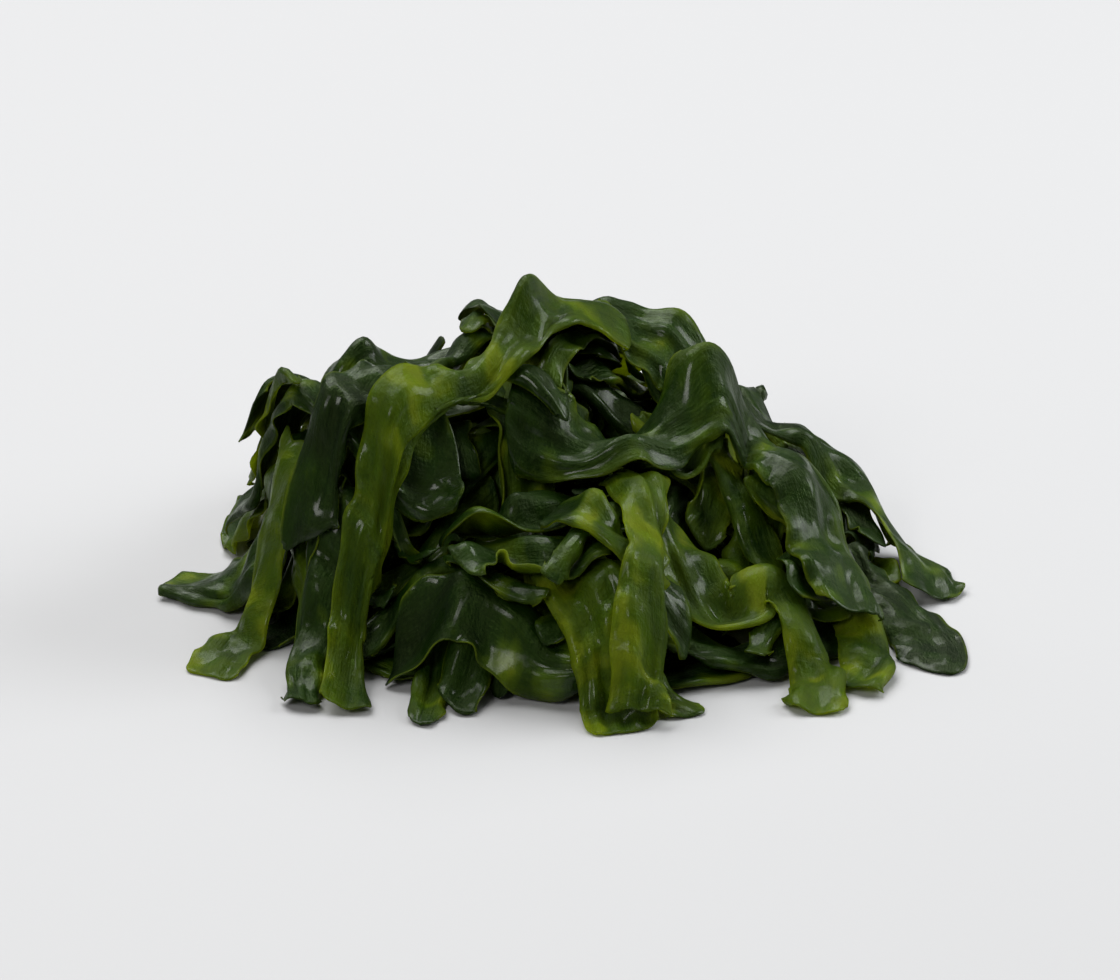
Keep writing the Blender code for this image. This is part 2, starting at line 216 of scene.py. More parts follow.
def spreadPoints(points, facets):
    corners = points[facets]
    samples = np.einsum("sk,fkc->fsc", sampleShares, corners)
    normal = np.cross(corners[:, 1] - corners[:, 0], corners[:, 2] - corners[:, 0])
    upright = np.abs(normal[:, 2]) / np.maximum(np.linalg.norm(normal, axis=1), 1e-9)
    reach = heap["nodeThickness"] / 2 / np.maximum(upright, laying["leastUpright"])
    return samples, reach[:, None]


def settled(x, y, rise, top, limp, steps):
    # How far each point is lifted when the blade comes down on the heap and hangs from it
    need = top.below(x, y) + heap["gap"] + heap["nodeThickness"] / 2 - rise
    sideways = np.hypot(np.diff(x, axis=1), np.diff(y, axis=1))
    along = np.hypot(np.diff(x, axis=0), np.diff(y, axis=0)) * laying["steepest"]
    along = along + np.abs(np.diff(rise, axis=0))
    across = np.hypot(sideways, np.diff(rise, axis=1)) * laying["stretch"]
    lift = np.full_like(need, need.max())
    for _ in range(steps):
        eased = lift.copy()
        eased[1:-1] = 0.25 * lift[:-2] + 0.5 * lift[1:-1] + 0.25 * lift[2:]
        eased[0] = 0.5 * lift[0] + 0.5 * (2 * lift[1] - lift[2])
        eased[-1] = 0.5 * lift[-1] + 0.5 * (2 * lift[-2] - lift[-3])
        mean = eased.copy()
        mean[:, 1:-1] = (eased[:, :-2] + eased[:, 1:-1] + eased[:, 2:]) / 3
        mean[:, 0] = (eased[:, 0] + 2 * eased[:, 1] - eased[:, 2]) / 2
        mean[:, -1] = (eased[:, -1] + 2 * eased[:, -2] - eased[:, -3]) / 2
        eased = np.minimum(mean - limp, lift)
        for i in range(1, len(eased)):
            eased[i] = np.maximum(eased[i], eased[i - 1] - along[i - 1])
            eased[-1 - i] = np.maximum(eased[-1 - i], eased[-i] - along[-i])
        eased = np.maximum(eased, need)
        for j in range(columns):
            eased[:, j + 1] = np.maximum(eased[:, j + 1], eased[:, j] - across[:, j])
            eased[:, -2 - j] = np.maximum(eased[:, -2 - j], eased[:, -1 - j] - across[:, -1 - j])
        lift = eased
    return lift


def cleared(x, y, z, facets, top):
    # Raises the corners of every facet that would still touch what lies below it
    points = np.stack([x.ravel(), y.ravel(), z.ravel()], axis=1)
    for _ in range(laying["clearingSteps"]):
        samples, reach = spreadPoints(points, facets)
        floor = top.below(samples[:, :, 0], samples[:, :, 1]) + heap["gap"] + reach
        short = (floor - samples[:, :, 2]).max(axis=1)
        if short.max() <= 1e-9:
            break
        raised = np.zeros(len(points))
        np.maximum.at(raised, facets.ravel(), np.repeat(np.maximum(short, 0) * 1.01, 3))
        raised = raised.reshape(z.shape)
        near = raised.copy()
        near[1:] = np.maximum(near[1:], 0.6 * raised[:-1])
        near[:-1] = np.maximum(near[:-1], 0.6 * raised[1:])
        points[:, 2] += near.ravel()
    return points


def settledBlade(blade, top):
    # The blade's middle surface once it has come to lie on the heap
    rows, limp, steps = blade["rows"], blade["limp"], blade["settleSteps"]
    where = np.linspace(0, 1, rows)
    lean = np.zeros(rows)
    mostLean = laying["mostLean"]
    for _ in range(blade["fittings"]):
        x, y, rise = bladeForm(blade, where, lean)
        lift = settled(x, y, rise, top, limp, steps)
        span = np.hypot(x[:, -1] - x[:, 0], y[:, -1] - y[:, 0])
        slope = (lift[:, -1] - lift[:, 0]) / np.maximum(span, blade["width"] / 2)
        lean = np.clip(lean + laying["leanShare"] * np.degrees(np.arctan(slope)), -mostLean, mostLean)
        lean[1:-1] = (lean[:-2] + 2 * lean[1:-1] + lean[2:]) / 4
        z = rise + lift
        middle = columns // 2
        line = np.stack([x[:, middle], y[:, middle], z[:, middle]], axis=1)
        length = np.concatenate([[0], np.cumsum(np.linalg.norm(np.diff(line, axis=0), axis=1))])
        even = np.linspace(0, length[-1], rows)
        lean = np.interp(even, length, lean)
        where = np.interp(even, length, where)
    x, y, rise = bladeForm(blade, where, lean)
    z = rise + settled(x, y, rise, top, limp, steps)
    return cleared(x, y, z, facetsOf(rows), top)


def layBlade(blade, top):
    points = settledBlade(blade, top)
    samples, reach = spreadPoints(points, facetsOf(blade["rows"]))
    top.add(samples[:, :, 0].ravel(), samples[:, :, 1].ravel(), (samples[:, :, 2] + reach).ravel())
    return points


def makeBlade(name, path, width, folds, **more):
    path = np.asarray(path, float)
    keys = [foldKinds[fold] for fold in folds]
    blade = {
        "name": name, "path": path, "width": width, "folds": keys if len(keys) > 1 else keys * 2,
        "length": float(np.linalg.norm(np.diff(path, axis=0), axis=1).sum()),
        "wave": 22.0, "wobble": 0.0, "ruffle": 1.0, "taper": (1, 1), "roll": (0,), "arch": (0,),
        "cut": (0, 0), "limp": 0.58, "rows": 15, "tone": "dark",
        "settleSteps": 200, "fittings": 4,
    }
    blade.update(more)
    return blade


def polar(radius, degrees):
    turn = math.radians(degrees)
    squeeze = heap["halfDepth"] / heap["halfWidth"]
    return np.array((radius * math.cos(turn), radius * math.sin(turn) * squeeze))


def wantedHeight(x, y):
    out = np.hypot((x - heap["peakX"]) / heap["halfWidth"], (y - heap["peakY"]) / heap["halfDepth"])
    front = 1 - heap["frontDip"] * np.clip(-y / heap["halfDepth"], 0, 1)
    return heap["heapedHeight"] * front * np.maximum(1 - out**1.5, 0)


def roomOver(path, top):
    x, y = planCurve(path, 40).T
    return float(np.mean(wantedHeight(x, y) - top.below(x, y)))


def roomiest(makePath, rng, top):
    tried = [makePath(rng) for _ in range(heap["placesTried"])]
    return max(tried, key=lambda path: roomOver(path, top))


def pathThrough(rng):
    # A chord through the heap
    turn = rng.uniform(0, 360)
    aside = rng.uniform(-30, 30)
    reach = math.sqrt(heap["innerRadius"]**2 - aside**2) * rng.uniform(0.7, 0.95)
    middle = polar(aside, turn + 90)
    bend = polar(rng.uniform(-12, 12), turn + 90)
    return [polar(-reach, turn) + middle, bend + middle, polar(reach, turn) + middle]


def pathOver(rng):
    # Down the flank with some sway, or round it
    turn = rng.uniform(0, 360)
    points = 6
    if rng.random() < 0.6:
        start, end = rng.uniform(-30, 16), rng.uniform(45, 54)
        sway, phase, swing = rng.uniform(3, 7), rng.uniform(0, 6.3), rng.uniform(-55, 55)
        shares = [i / (points - 1) for i in range(points)]
        return [
            polar(start + (end - start) * share, turn + swing * share**2)
            + polar(sway * math.sin(5.5 * share + phase), turn + 90)
            for share in shares
        ]
    radius = rng.uniform(16, 47)
    swing = min(math.degrees(rng.uniform(45, 75) / radius), 160)
    return [
        polar(radius + rng.uniform(-5, 5), turn + swing * i / (points - 1)) for i in range(points)
    ]


def floorBlades(rng):
    yield makeBlade("floor_blade_1", [(-28, -4), (0, 2), (28, -3)], 24, ["flat"], ruffle=0, rows=7)
    around = 9
    for k in range(around):
        turn = 360 / around * k + rng.uniform(-8, 8)
        radius = rng.uniform(34, 44)
        yield makeBlade(
            f"floor_blade_{k + 2}",
            [polar(radius - 3, turn), polar(radius + 2, turn + 22), polar(radius, turn + 44)],
            rng.uniform(9, 13), ["soft", "arc", "cup"], wobble=rng.uniform(0, 6), ruffle=1.5, rows=9,
        )


def innerBlades(rng, top, count=7):
    for k in range(count):
        yield makeBlade(
            f"inner_blade_{k + 1}", roomiest(pathThrough, rng, top), rng.uniform(16, 24),
            [rng.choice(foldChoices), rng.choice(foldChoices)],
            roll=(rng.uniform(-25, 25), rng.uniform(-25, 25)), ruffle=rng.uniform(1.6, 2.8),
            wave=rng.uniform(26, 36), wobble=rng.uniform(0, 6), limp=0.2, rows=13,
        )


def outerBlades(rng, top, count=25):
    for k in range(count):
        yield makeBlade(
            f"outer_blade_{k + 1}", roomiest(pathOver, rng, top), rng.uniform(7.5, 12),
            [rng.choice(foldChoices), rng.choice(foldChoices), rng.choice(lowChoices)],
            roll=[rng.uniform(-most, most) for most in (45, 40, 25, 12)], ruffle=rng.uniform(0.4, 1.4),
            wave=rng.uniform(16, 26), wobble=rng.uniform(0, 6), rows=17,
            arch=(0, rng.uniform(0, 5), 0, rng.uniform(0, 2), 0),
            taper=(rng.choice((1, 0.75)), 1, 1, rng.choice((1, 0.5))),
            cut=(rng.uniform(-30, 30), rng.uniform(-30, 30)),
            tone=rng.choice(("dark", "dark", "green")),
        )


def frontBlades():
    # On top and in front, each where the heap shows it, lowest first
    yield makeBlade("left_flank_blade", [(-33, -11), (-41, -13), (-48, -9), (-55, -1)], 13,
                    ["soft", "arc"], roll=(-10, 20), cut=(0, -25))
    yield makeBlade("left_cut_blade", [(-36, -13), (-42, -19), (-46, -26), (-48, -33)], 9.5,
                    ["arc", "soft"], cut=(10, 6), ruffle=0.4, tone="green")
    yield makeBlade("left_strip_blade", [(-26, -19), (-33, -27), (-36, -36), (-35, -44)], 9,
                    ["sway", "ridge"], wobble=2, cut=(-20, 25))
    yield makeBlade("front_low_blade", [(-2, -26), (4, -35), (8, -43), (9, -51)], 12,
                    ["arc", "soft", "soft"], roll=(10, -8), cut=(0, -8), ruffle=0.7, tone="green")
    yield makeBlade("front_curl_blade", [(-14, -34), (-8, -30), (0, -33), (7, -29)], 11,
                    ["cup", "sway", "arc"], arch=(0, 3, 0), roll=(30, -20, 20), rows=11)
    yield makeBlade("front_knot_blade", [(-16, -22), (-7, -24), (2, -20), (9, -25)], 10,
                    ["tight", "sway", "cup"], arch=(0, 2, 0), roll=(-30, 25), rows=11)
    yield makeBlade("right_low_blade", [(40, -8), (48, -15), (52, -23), (51, -31)], 12,
                    ["arc", "soft"], roll=(0, 15), cut=(0, 20))
    yield makeBlade("right_loop_blade", [(26, -12), (35, -15), (43, -22), (44, -31), (40, -38)], 10,
                    ["ridge", "arc", "lip"], arch=(0, 3, 0), wobble=4, tone="green")
    yield makeBlade("front_wave_blade",
                    [(13, -18), (18, -25), (24, -30), (29, -24), (33, -28), (36, -36), (35, -45)], 10,
                    ["ridge", "cup", "arc", "leftLip"], roll=(30, 60, 50, 20), arch=(0, 2, 0, 2, 0, 0),
                    ruffle=0.6, rows=19, tone="green")
    yield makeBlade("front_hanging_blade", [(9, -12), (12, -21), (14, -32), (13, -42), (12, -49)], 11,
                    ["arc", "ridge", "leftLip"], arch=(0, 3, 0, 0), wobble=1, ruffle=0.6, tone="green")
    yield makeBlade("left_dark_blade", [(-13, -19), (-24, -18), (-34, -11), (-41, -2), (-43, 6)], 14,
                    ["soft", "lip", "soft"], cut=(-15, 10), ruffle=0.8)
    yield makeBlade("right_back_blade", [(24, 8), (36, 12), (46, 9), (53, 0), (54, -9)], 11,
                    ["arc", "lip", "soft"], cut=(20, -20))
    yield makeBlade("left_shoulder_blade", [(-6, 15), (-18, 14), (-29, 8), (-37, 0), (-44, -4)], 10,
                    ["arc", "ridge", "soft"], arch=(0, 2, 0, 0), wobble=3)
    yield makeBlade("left_grey_blade", [(-10, 8), (-16, -1), (-21, -9), (-28, -17), (-34, -24)], 10,
                    ["ridge", "arc", "lip"], arch=(0, 2, 0, 0), cut=(15, -25), ruffle=0.5)
    yield makeBlade("top_back_blade", [(-12, 6), (-2, 11), (9, 12), (18, 9), (25, 3)], 16,
                    ["soft", "lip", "arc"], roll=(-20, -50, -20), arch=(0, 3, 2, 0), wobble=2)
    yield makeBlade("wide_top_blade",
                    [(-7, -12), (4, -14), (16, -10), (26, -6), (34, -9), (39, -17), (42, -27)], 14,
                    ["soft", "arc", "soft", "arc"], roll=(0, -15, -15, 10), ruffle=1.4, wobble=5,
                    limp=0.5, rows=19)
    yield makeBlade("long_front_blade",
                    [(10, 8), (2, 5), (-3, -3), (-11, -14), (-21, -22), (-27, -32), (-28, -45)], 11,
                    ["soft", "arc", "ridge", "arc", "leftLip"], roll=(20, 10, 0, -10, -20, 0),
                    arch=(0, 0, 0, 0, 2, 0, 0), ruffle=0.7, wobble=0.5, rows=21, tone="green")


def layHeap():
    rng = random.Random(heap["seed"])
    top = HeapTop(laying["cell"], laying["mapReach"], -heap["gap"])
    laid = []
    for group in (floorBlades(rng), innerBlades(rng, top), outerBlades(rng, top), frontBlades()):
        for blade in group:
            laid.append((blade, layBlade(blade, top)))
    corners = np.vstack([points for _, points in laid])
    shift = -(corners.min(axis=0) + corners.max(axis=0)) / 2
    shift[2] = 0
    return [(blade, points + shift) for blade, points in laid]


def checkAgainstNodes(laid):
    # The middle surfaces have to lie inside the boxes of the solids that they stand for
    worst = 0.0
    for blade, points in laid:
        low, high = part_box(blade["name"])
        lowest, highest = np.array(low) / mm, np.array(high) / mm
        over = np.maximum(lowest - points.min(axis=0), points.max(axis=0) - highest)
        worst = max(worst, float(over.max()))
    if worst > 0.05:
        raise RuntimeError(f"a blade lies {worst:.2f} mm outside its node")
    print(f"{len(laid)} blades laid, none more than {worst:.3f} mm outside its node")


# How fine the blades are cut up, and the small folds that each one gets. A spot is the length over
# which a random change comes and goes.
fine = {
    "alongStep": 0.62,
    "acrossStep": 0.52,
    "cell": 0.45,
    "mapReach": 62.0173,
    "thickness": 0.42,
    "marginThickness": 0.5,
    "marginBand": 0.4,
    "marginBands": 4,
    "leastClearance": 0.05,
    "clearingRounds": 8,
    "sinkMost": 1.3,
    "sinkReach": 4,
    "sinkSmoothing": 8,
    "archSag": 2.8,
    "archReach": 3,
    "archSmoothing": 30,
    "settlingHeights": (30, 44, 47.5),
    "settlingShares": (1, 0.6, 0.1),
    "frill": 0.7,
    "frillWave": 7.0,
    "frillDrift": 2.2,
    "driftSpot": 9,
    "frillSpot": 12,
    "pleat": 0.56,
    "pleatSpot": 18,
    "pleatWidth": 2.2,
    "blister": 0.36,
    "blisterSpot": (4.5, 3.5),
    "curl": 0.7,
    "curlSpot": 14,
    "leastCalm": 0.3,
    "raggedMargin": 0.55,
    "marginSpot": 3.5,
    "raggedEnd": 0.7,
    "endSpot": 2.5,
    "endReach": 4.0,
    "roundedCorner": 2.6,
    "cornerShares": (0.5, 1.2),
    "notches": 2,
    "notchPlaces": (0.1, 0.9),
    "notchDepth": 1.1,
    "notchWidth": (1.1, 2.3),
    "endSag": 3.5,
    "endSagReach": 14.0,
    "easing": 36,
    "calmEnd": 3.5,
    "firstSeed": 1000,
}

# The blades that catch the light, from 0 to 1, with that light painted into their colour; the others
# get a lightness at random
lightness = {
    "long_front_blade": 0.78,
    "front_hanging_blade": 1.0,
    "front_wave_blade": 0.8,
    "front_low_blade": 0.9,
    "left_cut_blade": 1.0,
    "right_loop_blade": 0.7,
    "left_dark_blade": 0.35,
    "wide_top_blade": 0.62,
    "top_back_blade": 0.6,
}

# Small pieces that lie in the hollows under each blade, in three groups from the bottom up
scraps = {
    "perBlade": 5,
    "placesTried": 24,
    "laysTried": 3,
    "length": (14, 32),
    "width": (4.5, 9),
    "bend": 4.0,
    "rows": 9,
    "settleSteps": 70,
    "fittings": 1,
    "leastRoom": 1.25,
    "roomCounted": 6.0,
    "roomForFolds": 3.6,
    "clearance": 0.45,
    "mostOver": 1.2,
    "mostHigh": 4.0,
    "reach": 0.9,
    "step": 1.3,
    "groups": 3,
    "greenShare": 0.3,
    "seed": 77,
}

# A strip on edge that closes the hollow under the crest
crestStrip = {
    "under": "top_back_blade",
    "group": "dark_scraps_3",
    "path": [(-8, 12), (0, 13), (7, 13.5), (14, 12)],
    "width": 9.0,
    "folds": ["lip", "arc", "sway"],
    "roll": (-35, -60, -60, -35),
    "arch": (0, 2, 2, 0),
    "wobble": 3,
    "ruffle": 0.8,
    "mostOver": 9.0,
    "seed": 500,
}


def finer(values, count):
    # Catmull-Rom through evenly spaced values along the first axis
    padded = np.concatenate([2 * values[:1] - values[1:2], values, 2 * values[-1:] - values[-2:-1]])
    place = np.linspace(0, len(values) - 1, count)
    left = np.minimum(place.astype(int), len(values) - 2)
    share = (place - left).reshape(-1, *[1] * (values.ndim - 1))
    a, b, c, d = (padded[left + k] for k in range(4))
    return 0.5 * (2 * b + (c - a) * share + (2 * a - 5 * b + 4 * c - d) * share**2
                  + (3 * b - a - 3 * c + d) * share**3)


def smoothNoise(rng, shape, spots):
    # Random values from -1 to 1 that change smoothly: spots along and across, then the fine grid
    lattice = rng.uniform(-1, 1, [max(2, int(round(spot)) + 1) for spot in spots])
    return np.swapaxes(finer(np.swapaxes(finer(lattice, shape[0]), 0, 1), shape[1]), 0, 1)


def unit(vectors):
    return vectors / np.maximum(np.linalg.norm(vectors, axis=2, keepdims=True), 1e-9)


def normalsOf(grid):
    return unit(np.cross(np.gradient(grid, axis=0), np.gradient(grid, axis=1)))


def fineGrid(points, rows, step=1.0):
    coarse = points.reshape(rows, columns + 1, 3)
    length = np.linalg.norm(np.diff(coarse[:, columns // 2], axis=0), axis=1).sum()
    width = np.linalg.norm(np.diff(coarse, axis=1), axis=2).sum(axis=1).mean()
    down = max(24, int(length / fine["alongStep"] / step))
    over = max(9, int(width / fine["acrossStep"] / step)) // 2 * 2 + 1
    grid = np.swapaxes(finer(np.swapaxes(finer(coarse, down), 0, 1), over), 0, 1)
    # In a sharp bend the inner margin would cross itself, so the margins are eased the most
    eased = 0.5 * np.linspace(-1, 1, over)[None, :, None] ** 2
    for _ in range(fine["easing"]):
        grid[1:-1] += eased * ((grid[:-2] + grid[2:]) / 2 - grid[1:-1])
    return grid, length, width


def raggedEdges(grid, rng, length, width):
    # Margins and cut ends move along the blade itself, so that no outline is ruled straight
    down, over = grid.shape[:2]
    share = np.linspace(-1, 1, over)[None, :]
    where = np.linspace(0, 1, down)[:, None]
    spots = length / fine["marginSpot"]
    margin = np.where(share < 0, smoothNoise(rng, (down, 2), (spots, 1))[:, :1],
                      smoothNoise(rng, (down, 2), (spots, 1))[:, 1:])
    inward = fine["raggedMargin"] * (0.6 + 0.6 * margin)
    for _ in range(rng.integers(0, fine["notches"] + 1)):
        side, spot = rng.choice((-1, 1)), rng.uniform(*fine["notchPlaces"])
        wide = rng.uniform(*fine["notchWidth"]) / length
        dip = np.exp(-((where - spot) / wide) ** 2) * (np.sign(share) == side)
        inward = inward + fine["notchDepth"] * rng.uniform(0.4, 1) * dip
    inward = inward * np.abs(share) ** 3
    endReach = fine["endReach"] / length
    nearStart = np.clip(1 - where / endReach, 0, 1) ** 2
    nearEnd = np.clip(1 - (1 - where) / endReach, 0, 1) ** 2
    ends = 0.6 + 0.5 * smoothNoise(rng, (2, over), (1, width / fine["endSpot"]))
    rounded = fine["roundedCorner"] * np.abs(share) ** 4
    first, last = rng.uniform(*fine["cornerShares"], 2)
    back = (fine["raggedEnd"] * ends[:1] + first * rounded) * nearStart
    back = back - (fine["raggedEnd"] * ends[1:] + last * rounded) * nearEnd
    across, along = unit(np.gradient(grid, axis=1)), unit(np.gradient(grid, axis=0))
    return grid - across * (np.sign(share) * inward)[:, :, None] + along * back[:, :, None]


def fineFolds(grid, rng, length, width):
    # Out of the blade's own surface: frills at the margins, pleats along it, blisters, curled edges
    shape = grid.shape[:2]
    down, over = shape
    share = np.linspace(-1, 1, over)[None, :]
    along = np.linspace(0, length, down)[:, None]
    drift = fine["frillDrift"] * smoothNoise(rng, shape, (length / fine["driftSpot"], 1))
    strength = 0.55 + 0.6 * smoothNoise(rng, shape, (length / fine["frillSpot"], 1))
    frill = np.sin(2 * np.pi * along / fine["frillWave"] + drift + np.where(share < 0, 0, 2))
    away = fine["frill"] * strength * frill * np.abs(share) ** 2.5
    pleats = smoothNoise(rng, shape, (length / fine["pleatSpot"], width / fine["pleatWidth"]))
    away = away + fine["pleat"] * (1 - 2 * np.abs(pleats))
    longSpot, wideSpot = fine["blisterSpot"]
    away = away + fine["blister"] * smoothNoise(rng, shape, (length / longSpot, width / wideSpot))
    curl = smoothNoise(rng, (down, 2), (length / fine["curlSpot"], 1))
    away = away + fine["curl"] * np.where(share < 0, curl[:, :1], curl[:, 1:]) * np.abs(share) ** 6
    toEnd = np.minimum(along, length - along)
    calm = np.interp(toEnd, (0, fine["calmEnd"]), (fine["leastCalm"], 1))
    return grid + normalsOf(grid) * (away * calm)[:, :, None]


def roundEach(values, gather):
    # The nine values at and round each point of the grid, gathered into one
    wide = np.pad(values, 1, mode="edge")
    down, over = values.shape
    return gather([wide[i:i + down, j:j + over] for i in range(3) for j in range(3)], axis=0)


def standing(grid, top):
    # How far each point stands above the lowest place that it could take
    upright = np.maximum(np.abs(normalsOf(grid)[:, :, 2]), laying["leastUpright"])
    half = fine["thickness"] / 2 / upright
    need = top.below(grid[:, :, 0], grid[:, :, 1]) + fine["leastClearance"] + half
    return grid[:, :, 2] - need


def settling(height):
    # The crest keeps its height, and what lies lower gives way fully
    return np.interp(height, fine["settlingHeights"], fine["settlingShares"])


def sagged(grid, top):
    # Where a blade hangs free over its whole width, it sags towards what is below
    most = fine["archSag"] * settling(grid[:, :, 2].mean(axis=1))
    free = np.clip(standing(grid, top).min(axis=1), 0, most)
    for _ in range(fine["archReach"]):
        wide = np.pad(free, 1, mode="edge")
        free = np.minimum(free, np.minimum(wide[:-2], wide[2:]))
    for _ in range(fine["archSmoothing"]):
        wide = np.pad(free, 1, mode="edge")
        free = (wide[:-2] + 2 * free + wide[2:]) / 4
    grid = grid.copy()
    grid[:, :, 2] -= free[:, None]
    return grid


def sunk(grid, top, length):
    # Limp blades cling to what they lie on: each goes down as far as all the points near it can,
    # and its cut ends go furthest
    toEnd = np.minimum(np.linspace(0, length, len(grid)), np.linspace(length, 0, len(grid)))
    nearEnd = np.clip(1 - toEnd / fine["endSagReach"], 0, 1)[:, None]
    most = fine["sinkMost"] * settling(grid[:, :, 2]) + fine["endSag"] * nearEnd
    drop = np.clip(standing(grid, top), 0, most)
    for _ in range(fine["sinkReach"]):
        drop = roundEach(drop, np.min)
    for _ in range(fine["sinkSmoothing"]):
        drop = roundEach(drop, np.mean)
    grid = grid.copy()
    grid[:, :, 2] -= drop
    return grid


def fineCleared(grid, top):
    # Lifts whatever would touch the blades below, and carries the lift smoothly to its neighbours
    short = np.maximum(-standing(grid, top), 0)
    lift = short
    for _ in range(fine["clearingRounds"]):
        lift = np.maximum(roundEach(lift, np.mean), short)
    grid = grid.copy()
    grid[:, :, 2] += lift
    return grid


def addToTop(grid, top):
    upright = np.maximum(np.abs(normalsOf(grid)[:, :, 2]), laying["leastUpright"])
    half = fine["thickness"] / 2 / upright
    top.add(grid[:, :, 0].ravel(), grid[:, :, 1].ravel(), (grid[:, :, 2] + half).ravel())


def undersides(laid, top):
    # For each blade, the lowest underside of it and of all that are laid after it, cell by cell
    ceiling = np.full_like(top.height, np.inf)
    ceilings = []
    for blade, points in reversed(laid):
        samples, reach = spreadPoints(points, facetsOf(blade["rows"]))
        cells = top.cells(samples[:, :, 0].ravel(), samples[:, :, 1].ravel())
        np.minimum.at(ceiling, cells, (samples[:, :, 2] - reach).ravel())
        ceilings.append(roundEach(ceiling, np.min))
    return ceilings[::-1]


def scrapPath(rng, points):
    # A short bent route that crosses the blade that will lie over it
    middle = rng.choice(points)[:2]
    turn = rng.uniform(0, 2 * math.pi)
    ahead = np.array((math.cos(turn), math.sin(turn))) * rng.uniform(*scraps["length"]) / 2
    aside = np.array((-math.sin(turn), math.cos(turn))) * rng.uniform(-1, 1) * scraps["bend"]
    return [middle - ahead, middle + aside, middle + ahead]


def roomFor(path, width, top, ceiling):
    # The least height free along a route, with a little credit for more
    curve = planCurve(path, 24)
    heading = np.gradient(curve, axis=0)
    aside = np.stack([-heading[:, 1], heading[:, 0]], axis=1)
    aside *= 0.4 * width / np.linalg.norm(aside, axis=1)[:, None]
    x, y = np.vstack([curve - aside, curve, curve + aside]).T
    if np.hypot(x / heap["halfWidth"], y / heap["halfDepth"]).max() > scraps["reach"]:
        return -1.0
    room = np.minimum(ceiling[top.cells(x, y)] - top.below(x, y), scraps["roomCounted"])
    return float(room.min() + 0.1 * room.mean())


def fittedUnder(scrap, top, ceiling, mostOver):
    # Lays a strip and keeps it below what will lie over it, unless too much of it would stand higher
    laidPoints = settledBlade(scrap, top)
    x, y = laidPoints[:, :2].T
    over = ceiling[top.cells(x, y)] - scraps["clearance"]
    limit = np.where(np.isinf(over), top.below(x, y) + scraps["mostHigh"], over)
    if (laidPoints[:, 2] - limit).max() > mostOver:
        return None
    laidPoints[:, 2] = np.minimum(laidPoints[:, 2], limit)
    return laidPoints


def crestSheet(top, ceiling):
    strip = makeBlade(
        "scrap", crestStrip["path"], crestStrip["width"], crestStrip["folds"], roll=crestStrip["roll"],
        arch=crestStrip["arch"], wobble=crestStrip["wobble"], ruffle=crestStrip["ruffle"],
        rows=scraps["rows"], settleSteps=scraps["settleSteps"], fittings=scraps["fittings"],
    )
    points = fittedUnder(strip, top, ceiling, crestStrip["mostOver"])
    rng = np.random.default_rng(crestStrip["seed"])
    return sheetOf(points, scraps["rows"], rng, top, scraps["step"], ceiling)


def layScrap(rng, points, top, ceiling):
    width = rng.uniform(*scraps["width"])
    paths = [scrapPath(rng, points) for _ in range(scraps["placesTried"])]
    rooms = [roomFor(path, width, top, ceiling) for path in paths]
    for place in np.argsort(rooms)[::-1][:scraps["laysTried"]]:
        folds = foldChoices if rooms[place] > scraps["roomForFolds"] else lowChoices
        scrap = makeBlade(
            "scrap", paths[place], width, list(rng.choice(folds, 2)),
            roll=rng.uniform(-30, 30, 2), ruffle=rng.uniform(0.4, 1.2), wave=rng.uniform(12, 20),
            wobble=rng.uniform(0, 6), cut=rng.uniform(-30, 30, 2), rows=scraps["rows"],
            settleSteps=scraps["settleSteps"], fittings=scraps["fittings"],
        )
        if rooms[place] < scraps["leastRoom"]:
            break
        laidPoints = fittedUnder(scrap, top, ceiling, scraps["mostOver"])
        if laidPoints is not None:
            return laidPoints
    return None


def sheetOf(points, rows, rng, top, step=1.0, ceiling=None):
    # One blade's fine middle surface, laid on the fine heap
    grid, length, width = fineGrid(points, rows, step)
    grid = raggedEdges(grid, rng, length, width)
    grid = sunk(sagged(fineFolds(grid, rng, length, width), top), top, length)
    if ceiling is not None:
        limit = ceiling[top.cells(grid[:, :, 0], grid[:, :, 1])] - fine["thickness"]
        grid[:, :, 2] = np.minimum(grid[:, :, 2], limit)
    grid = fineCleared(grid, top)
    addToTop(grid, top)
    return {"grid": grid, "length": length, "width": width, "tone": float(rng.uniform(0, 1))}


